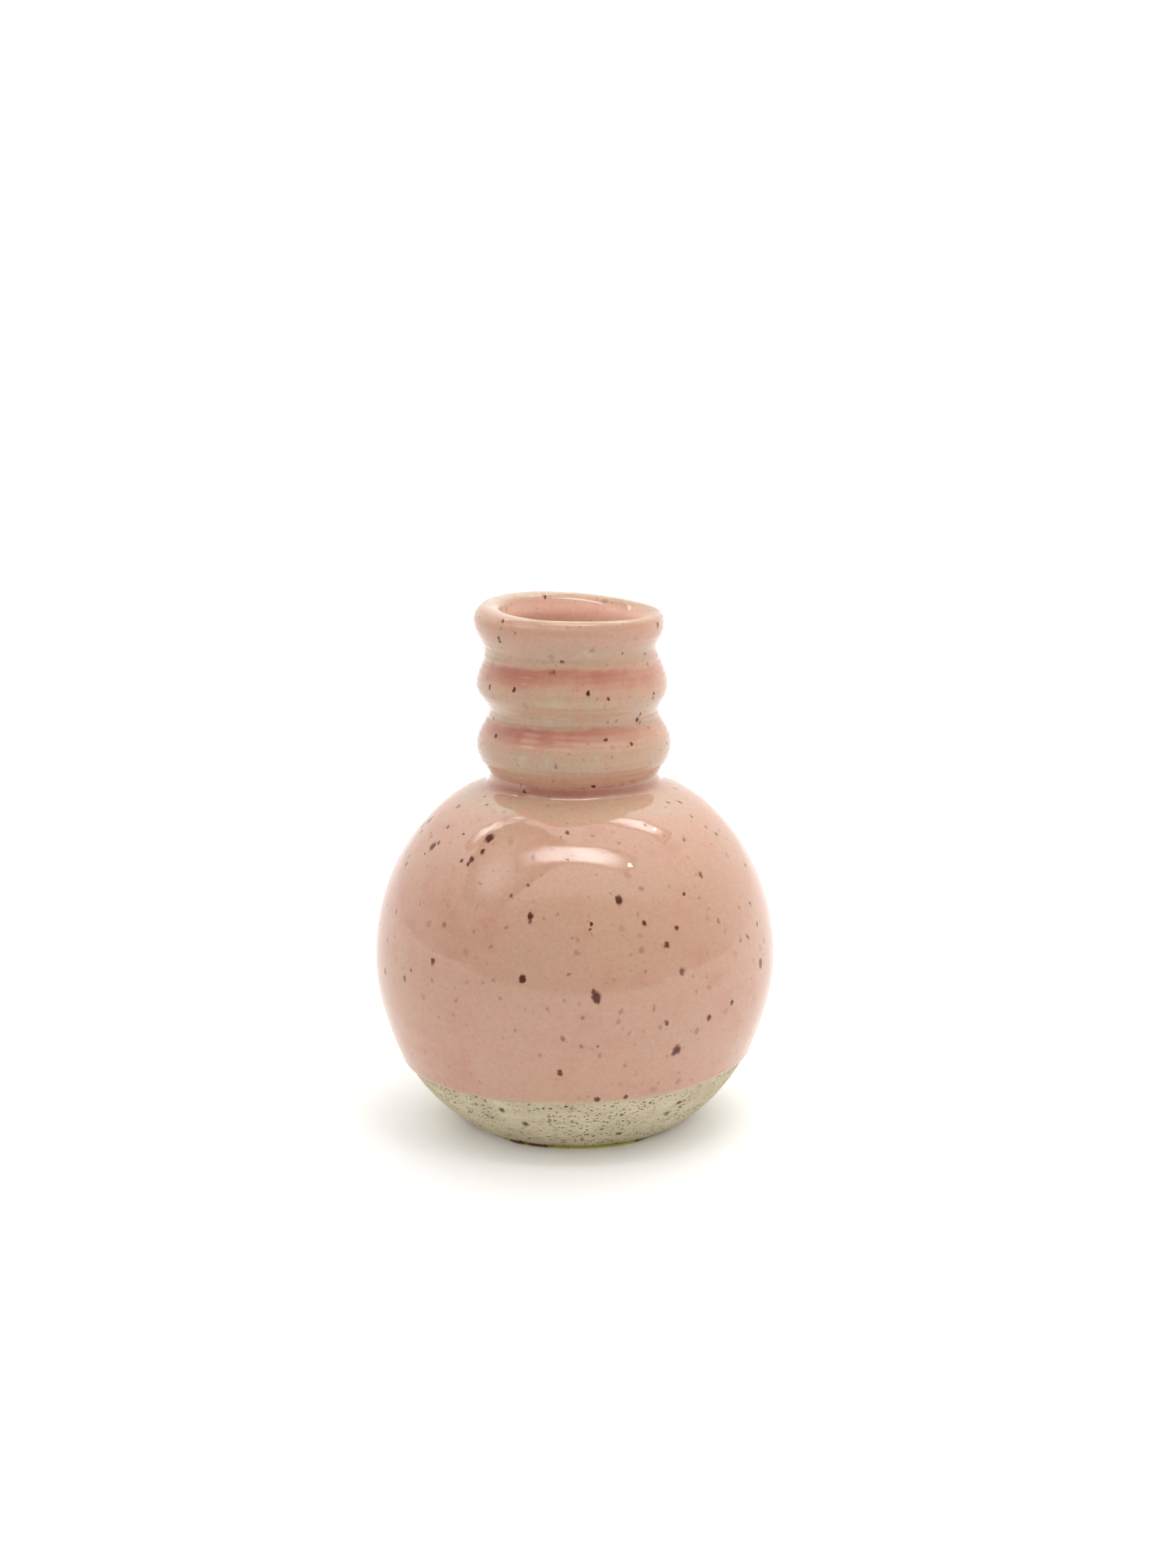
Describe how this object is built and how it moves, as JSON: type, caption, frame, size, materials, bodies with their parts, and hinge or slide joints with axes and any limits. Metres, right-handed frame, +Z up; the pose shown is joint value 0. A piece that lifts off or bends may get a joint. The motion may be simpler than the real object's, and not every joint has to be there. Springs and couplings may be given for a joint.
{
  "type": "bud vase",
  "caption": "Small thrown stoneware bud vase: round globe, ribbed narrow neck with a rolled lip, glazed inside and out, bare foot on a thin felt pad.",
  "frame": {"origin": "centre of the base pad's underside, on the vase's turning axis", "axes": "+Z up along the turning axis towards the mouth; -Y is the side towards the viewer"},
  "size_m": [0.075, 0.075, 0.0965],
  "materials": {
    "bare_stoneware": "matte, sandy, iron-speckled bare clay",
    "outer_glaze": "glossy dusty-pink glaze with brown iron speckles, beige where thin",
    "inner_glaze": "glossy dusty-pink liner glaze",
    "pad_felt": "olive-yellow pressed felt"
  },
  "bodies": {
    "root": {"stoneware_body": "bare_stoneware", "outer_glaze": "outer_glaze", "inner_glaze": "inner_glaze", "base_pad": "pad_felt"}
  },
  "joints": []
}
